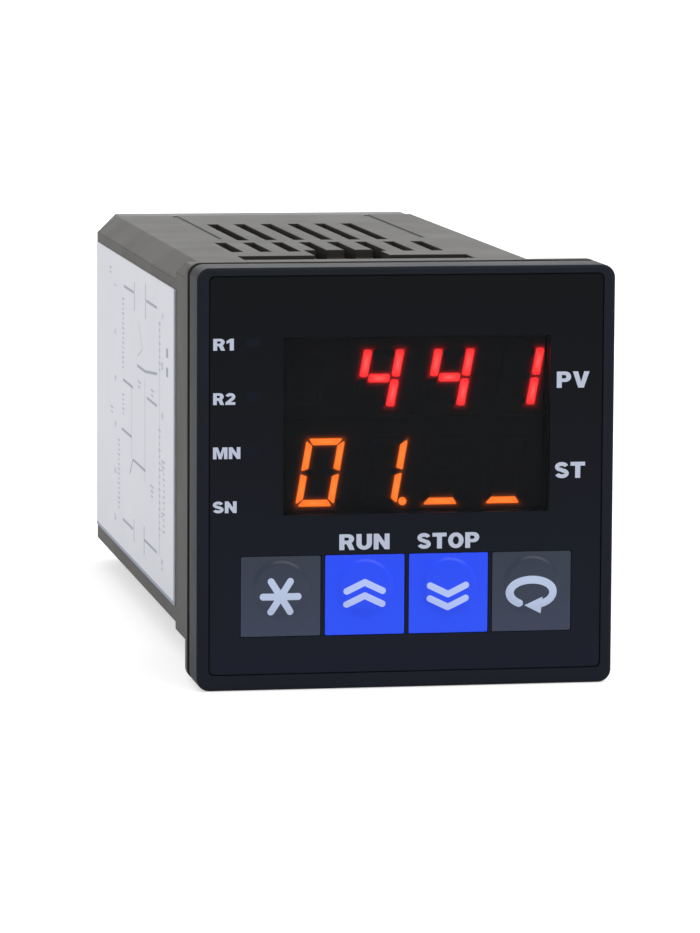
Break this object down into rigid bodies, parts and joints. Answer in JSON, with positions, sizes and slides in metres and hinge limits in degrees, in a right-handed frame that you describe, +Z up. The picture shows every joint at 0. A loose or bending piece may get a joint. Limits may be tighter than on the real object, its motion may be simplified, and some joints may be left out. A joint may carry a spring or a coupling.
{
  "type": "panel process controller",
  "caption": "Square panel-mounted process controller with a two-line digit display, domed film keys, a long vented case and rear screw terminals.",
  "frame": {"origin": "middle of the panel plane, on the front of the panel where the case flange lies against it", "axes": "+Z up, the front looks along -Y, +Y runs back along the case, +X to the right seen from the front"},
  "size_m": [0.048, 0.1076, 0.048],
  "materials": {
    "bezel_plastic": "satin black moulding, fine matte texture on its sides",
    "overlay_film": "smooth printed film with a low sheen",
    "window_smoke": "smoked clear plastic",
    "key_grey": "printed film, slate grey",
    "key_blue": "printed film, bright blue",
    "switch_black": "moulded nylon",
    "lamp_resin": "tinted diffusing resin, unlit",
    "display_housing": "black printed face on a white housing",
    "segment_red_lit": "light bars, lit red",
    "segment_orange_lit": "light bars, lit orange",
    "segment_dark": "light bars, unlit behind the smoked window",
    "board_green": "glass-fibre board with green mask",
    "socket_black": "moulded socket",
    "core_steel": "varnished laminations",
    "bobbin_nylon": "moulded nylon",
    "copper_wire": "enamelled copper winding",
    "relay_case": "moulded cover",
    "capacitor_sleeve": "shrunk sleeve",
    "fuse_glass": "ceramic tube",
    "chip_black": "moulded epoxy",
    "case_plastic": "fine matte spark texture",
    "terminal_plastic": "satin moulding",
    "nickel_brass": "nickel-plated brass",
    "nickel_steel": "nickel-plated steel",
    "label_paper": "white printed film"
  },
  "bodies": {
    "root": {"bezel_frame": "bezel_plastic", "front_overlay": "overlay_film", "display_window": "window_smoke", "switch_body_star": "switch_black", "switch_body_up": "switch_black", "switch_body_down": "switch_black", "switch_body_cycle": "switch_black", "indicator_lamp_r1": "lamp_resin", "indicator_lamp_r2": "lamp_resin", "indicator_lamp_mn": "lamp_resin", "indicator_lamp_sn": "lamp_resin", "pv_display": "display_housing", "st_display": "display_housing", "pv_lit_segments": "segment_red_lit", "pv_dark_segments": "segment_dark", "st_lit_segments": "segment_orange_lit", "st_dark_segments": "segment_dark", "display_board": "board_green", "power_board": "board_green", "main_board": "board_green", "power_socket": "socket_black", "main_socket": "socket_black", "transformer_core": "core_steel", "transformer_bobbin": "bobbin_nylon", "transformer_winding": "copper_wire", "relay_upper": "relay_case", "relay_lower": "relay_case", "bulk_capacitor": "capacitor_sleeve", "filter_capacitor": "capacitor_sleeve", "bridge_rectifier": "chip_black", "fuse": "fuse_glass", "converter_chip": "chip_black", "processor_chip": "chip_black", "input_chip": "chip_black", "driver_chip": "chip_black", "case_sleeve": "case_plastic", "terminal_block": "terminal_plastic", "terminal_plates": "nickel_brass", "terminal_screws": "nickel_steel", "side_label": "label_paper"},
    "key_star": {"key_pad_star": "key_grey", "switch_plunger_star": "switch_black"},
    "key_up": {"key_pad_up": "key_blue", "switch_plunger_up": "switch_black"},
    "key_down": {"key_pad_down": "key_blue", "switch_plunger_down": "switch_black"},
    "key_cycle": {"key_pad_cycle": "key_grey", "switch_plunger_cycle": "switch_black"}
  },
  "joints": [
    {"name": "press_star", "type": "slide", "parent": "root", "child": "key_star", "axis": [0, 1, 0], "range_m": [0, 0.0003], "stiffness_N_per_m": 600, "springref_m": -0.0006},
    {"name": "press_up", "type": "slide", "parent": "root", "child": "key_up", "axis": [0, 1, 0], "range_m": [0, 0.0003], "stiffness_N_per_m": 600, "springref_m": -0.0006},
    {"name": "press_down", "type": "slide", "parent": "root", "child": "key_down", "axis": [0, 1, 0], "range_m": [0, 0.0003], "stiffness_N_per_m": 600, "springref_m": -0.0006},
    {"name": "press_cycle", "type": "slide", "parent": "root", "child": "key_cycle", "axis": [0, 1, 0], "range_m": [0, 0.0003], "stiffness_N_per_m": 600, "springref_m": -0.0006}
  ]
}
